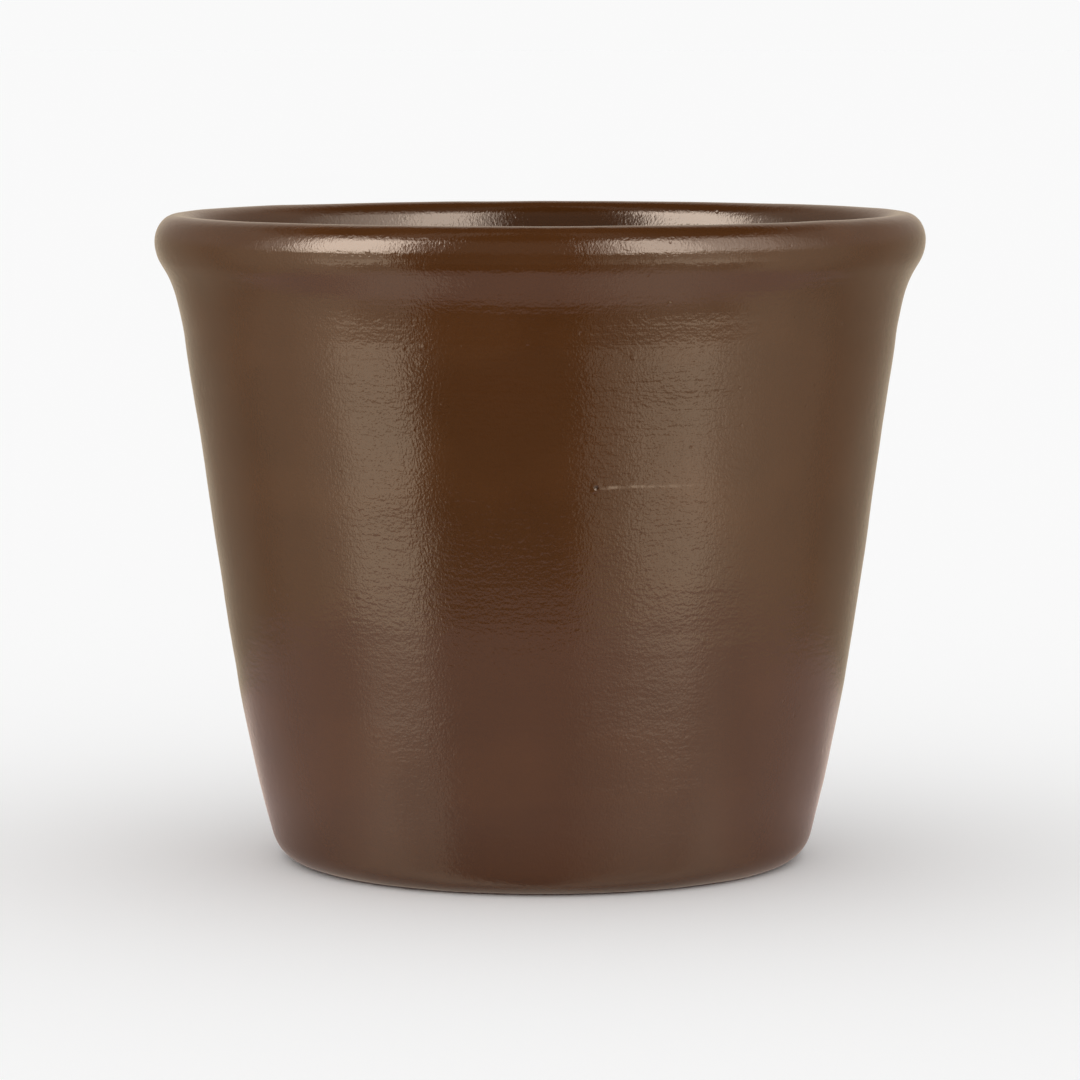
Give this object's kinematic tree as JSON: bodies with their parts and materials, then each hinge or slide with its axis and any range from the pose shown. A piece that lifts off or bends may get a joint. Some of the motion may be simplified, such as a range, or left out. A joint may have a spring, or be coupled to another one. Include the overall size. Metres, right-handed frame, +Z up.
{
  "type": "flower pot",
  "caption": "Round tapered flower pot of brown-glazed terracotta with a rolled rim, a bare foot ring and a drainage hole.",
  "frame": {"origin": "centre of the foot ring, on the surface that the pot stands on", "axes": "+Z up along the pot's axis; the pot is round, so X and Y are free, and -Y is taken as its front"},
  "size_m": [0.16, 0.16, 0.135],
  "materials": {
    "bare_clay": "unglazed fired terracotta, matt",
    "brown_glaze": "glossy dark brown glaze with a fine orange-peel skin"
  },
  "bodies": {
    "root": {"clay_body": "bare_clay", "outside_glaze": "brown_glaze", "inside_glaze": "brown_glaze"}
  },
  "joints": []
}
